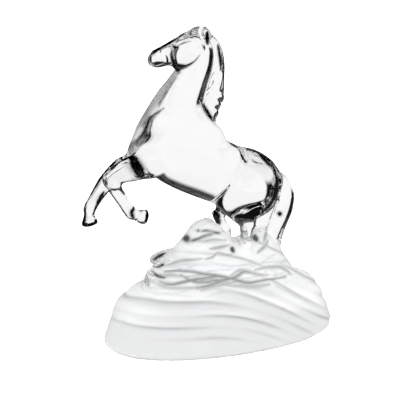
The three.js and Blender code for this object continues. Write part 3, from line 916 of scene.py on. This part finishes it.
def crystal(name, frosted):
    """Clear or frosted crystal, with a combed noise as fine bump where "combing" says, and with shade
    painted into its base colour along "groove" or "crease"."""
    material = bpy.data.materials.new(name)
    material.use_nodes = True
    nodes, links = material.node_tree.nodes, material.node_tree.links
    shader = nodes["Principled BSDF"]
    socket(shader, "Transmission Weight", 0.75 if frosted else 1.0)
    socket(shader, "IOR", 1.2 if frosted else 1.55)
    where = nodes.new("ShaderNodeTexCoord")
    combed = nodes.new("ShaderNodeMapping")
    socket(combed, "Rotation", (0, math.radians(-12), 0))
    socket(combed, "Scale", (60, 260, 520))
    links.new(where.outputs["Object"], combed.inputs["Vector"])
    hair = nodes.new("ShaderNodeTexNoise")
    socket(hair, "Scale", 1.0)
    socket(hair, "Detail", 2.0)
    socket(hair, "Distortion", 0.6)
    links.new(combed.outputs["Vector"], hair.inputs["Vector"])
    height = nodes.new("ShaderNodeMath")
    height.operation = "MULTIPLY"
    links.new(hair.outputs["Fac"], height.inputs[0])
    links.new(read_attribute(nodes, "combing"), height.inputs[1])
    bump = nodes.new("ShaderNodeBump")
    socket(bump, "Strength", 0.1 if frosted else 0.03)
    socket(bump, "Distance", 0.001)
    links.new(height.outputs[0], bump.inputs["Height"])
    links.new(bump.outputs["Normal"], shader.inputs["Normal"])
    # painted shade: the base colour runs from the crystal's own pale to near black along "groove"
    # (frosted) or "crease" (clear)
    tone = nodes.new("ShaderNodeValToRGB")
    pale, dark = tone.color_ramp.elements
    pale.color = (0.97, 0.975, 0.98, 1) if frosted else (1, 1, 1, 1)
    dark.color = (0.02, 0.025, 0.03, 1) if frosted else (0, 0, 0, 1)
    links.new(read_attribute(nodes, "groove" if frosted else "crease"), tone.inputs["Fac"])
    links.new(tone.outputs["Color"], shader.inputs["Base Color"])
    if frosted:
        socket(shader, "Roughness", 0.45)
    else:
        links.new(read_attribute(nodes, "satin"), shader.inputs["Roughness"])
    return material


mesh.materials.append(crystal("clear_crystal", False))
mesh.materials.append(crystal("frosted_crystal", True))
FROST_OVER_MOUND = 0.8  # how far above the mound's stations its frosted skin ends
middles = points[quads].mean(1)
frost_line = MOUND_FOOT + FROST_OVER_MOUND + mound_size(middles[:, 0] - FIGURE_X)[0]
frosted = (middles[:, 2] < frost_line).astype(np.int32)
mesh.polygons.foreach_set("material_index", frosted)

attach(figurine, "root")
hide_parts("crystal_horse")


# Stage

AZIMUTH = math.radians(-21)
ELEVATION = math.radians(17.5)
DISTANCE = 760
TARGET = np.array([-15.76, -12.06, 80.3])
MM_PER_PIXEL = 0.515
IMAGE_WIDTH = 400
level_share = math.cos(ELEVATION)
back = Vector((math.sin(AZIMUTH) * level_share, -math.cos(AZIMUTH) * level_share, math.sin(ELEVATION)))
right = Vector((math.cos(AZIMUTH), math.sin(AZIMUTH), 0))
up = back.cross(right)
camera_data = bpy.data.cameras.new("camera")
camera_data.lens = camera_data.sensor_width * DISTANCE / (IMAGE_WIDTH * MM_PER_PIXEL)
camera = bpy.data.objects.new("camera", camera_data)
bpy.context.collection.objects.link(camera)
place = Vector(TARGET * MM) + back * DISTANCE * MM
camera.matrix_world = Matrix.Translation(place) @ Matrix((right, up, back)).transposed().to_4x4()
bpy.context.scene.camera = camera

FLOOR_HALF = 3.0  # metres
corners = FLOOR_HALF * np.array([[-1, -1, 0], [1, -1, 0], [1, 1, 0], [-1, 1, 0]])
floor_mesh = make_mesh("floor", corners, [np.array([[0, 1, 2, 3]])])
floor = bpy.data.objects.new("floor", floor_mesh)
bpy.context.collection.objects.link(floor)
floor_material = bpy.data.materials.new("floor")
floor_material.use_nodes = True
floor_shader = floor_material.node_tree.nodes["Principled BSDF"]
socket(floor_shader, "Base Color", (0.9, 0.9, 0.9, 1))
socket(floor_shader, "Roughness", 1.0)
socket(floor_shader, "Emission Color", (1, 1, 1, 1))
socket(floor_shader, "Emission Strength", 0.85)
floor_mesh.materials.append(floor_material)
floor.visible_transmission = False
floor.visible_glossy = False

lamp_data = bpy.data.lights.new("overhead", "AREA")
lamp_data.shape = "DISK"
lamp_data.size = 1.2
lamp_data.energy = 9
lamp = bpy.data.objects.new("overhead", lamp_data)
lamp.location = (-0.12, -0.64, 1.13)
lamp.rotation_euler = (math.radians(30), 0, math.radians(-11))
bpy.context.collection.objects.link(lamp)
lamp.visible_transmission = False
lamp.visible_glossy = False

world = bpy.data.worlds.new("studio")
bpy.context.scene.world = world
world.use_nodes = True
nodes, links = world.node_tree.nodes, world.node_tree.links


def math_node(operation, a, b=None):
    """A math node whose inputs are numbers or other nodes' outputs."""
    node = nodes.new("ShaderNodeMath")
    node.operation = operation
    for k, value in enumerate((a, b)):
        if value is None:
            continue
        if isinstance(value, (int, float)):
            node.inputs[k].default_value = value
        else:
            links.new(value, node.inputs[k])
    return node.outputs[0]


def ramp(value, low, high):
    """0 at low, 1 at high, with a smooth step between them."""
    node = nodes.new("ShaderNodeMapRange")
    node.interpolation_type = "SMOOTHSTEP"
    links.new(value, node.inputs["Value"])
    node.inputs["From Min"].default_value = low
    node.inputs["From Max"].default_value = high
    return node.outputs[0]


# The studio is a white room with dark posts at 45 degrees and every 90 from the camera's line of
# sight, paler on the camera's side, and a dark ceiling. Steeply downwards it is white all round.
POST_GLOW = 0.5  # how light the posts on the camera's side are
MIRROR_LOSS = 0.9  # what reflections lose, so that the glass keeps clean edges
direction = nodes.new("ShaderNodeSeparateXYZ")
links.new(nodes.new("ShaderNodeTexCoord").outputs["Generated"], direction.inputs[0])
azimuth = math_node("ARCTAN2", direction.outputs[1], direction.outputs[0])
elevation = math_node("ARCSINE", direction.outputs[2])
turned = math_node("SUBTRACT", azimuth, math.radians(90) + AZIMUTH)
lobes = math_node("COSINE", math_node("MULTIPLY", turned, 4.0))
between_posts = ramp(lobes, -0.5, -0.1)
below_top = math_node("SUBTRACT", 1.0, ramp(elevation, math.radians(6), math.radians(16)))
steep = math_node("SUBTRACT", 1.0, ramp(elevation, math.radians(-35), math.radians(-22)))
camera_side = math_node("MULTIPLY", ramp(math_node("COSINE", turned), 0.1, -0.3), POST_GLOW)
walls = math_node("MAXIMUM", math_node("MAXIMUM", between_posts, camera_side), steep)
path = nodes.new("ShaderNodeLightPath")
bounced = math_node("MULTIPLY", path.outputs["Is Glossy Ray"], path.outputs["Is Reflection Ray"])
kept = math_node("SUBTRACT", 1.0, math_node("MULTIPLY", bounced, MIRROR_LOSS))
room_light = math_node("MULTIPLY", math_node("MULTIPLY", walls, below_top), kept)
# Light that the frosted skin or the floor has scattered, and the backdrop, see the room plain white
scattered = math_node("GREATER_THAN", path.outputs["Diffuse Depth"], 0.5)
light = math_node("MAXIMUM", room_light, scattered)
strength = math_node("MAXIMUM", light, path.outputs["Is Camera Ray"])
links.new(strength, nodes["Background"].inputs["Strength"])
socket(nodes["Background"], "Color", (1, 1, 1, 1))
bpy.context.scene.view_settings.view_transform = "Standard"
